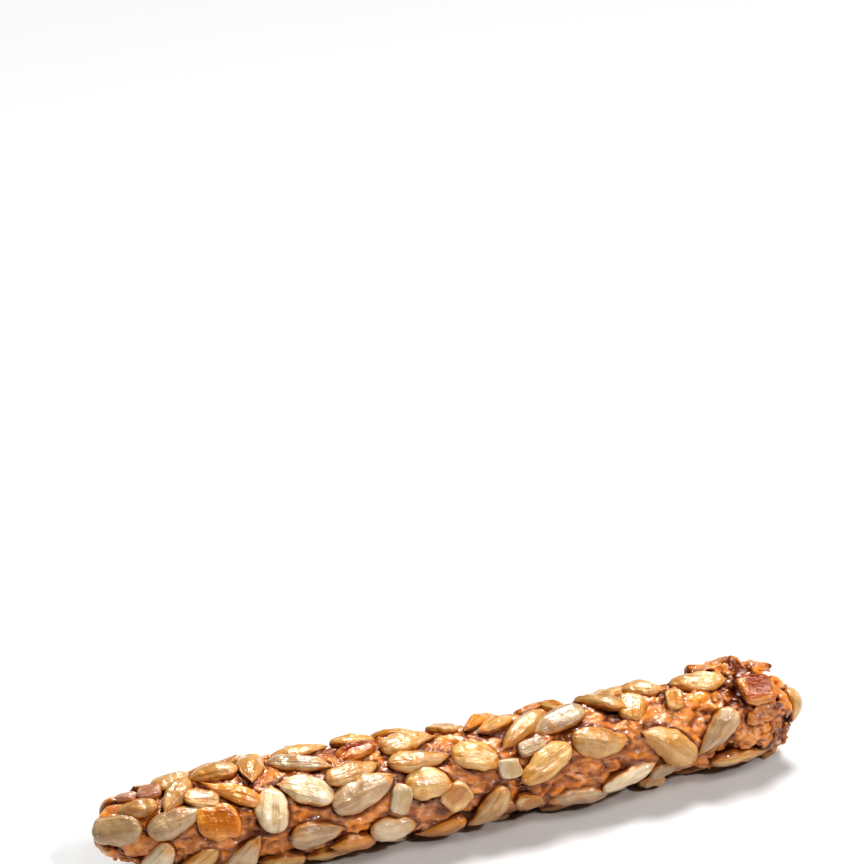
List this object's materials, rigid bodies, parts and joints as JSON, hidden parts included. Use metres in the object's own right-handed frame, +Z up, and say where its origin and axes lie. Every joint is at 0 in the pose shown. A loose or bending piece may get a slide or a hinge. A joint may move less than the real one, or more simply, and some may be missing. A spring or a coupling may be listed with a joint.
{
  "type": "breadstick",
  "caption": "Short, thick breadstick with a torn end, baked with hulled sunflower kernels pressed all over its caramel-brown dough",
  "frame": {"origin": "centre of the bounding box in plan, at the level of the ground the stick lies on", "axes": "+X along the stick from its tapered end to its torn end, +Z up, -Y is the side that was pictured"},
  "size_m": [0.1108, 0.0183, 0.0166],
  "materials": {
    "crust": "satin, glazed and rough",
    "grey_kernel": "satin",
    "gold_kernel": "satin",
    "toasted_kernel": "satin",
    "pale_kernel": "satin"
  },
  "bodies": {
    "root": {"breadstick": "crust"}
  },
  "joints": []
}
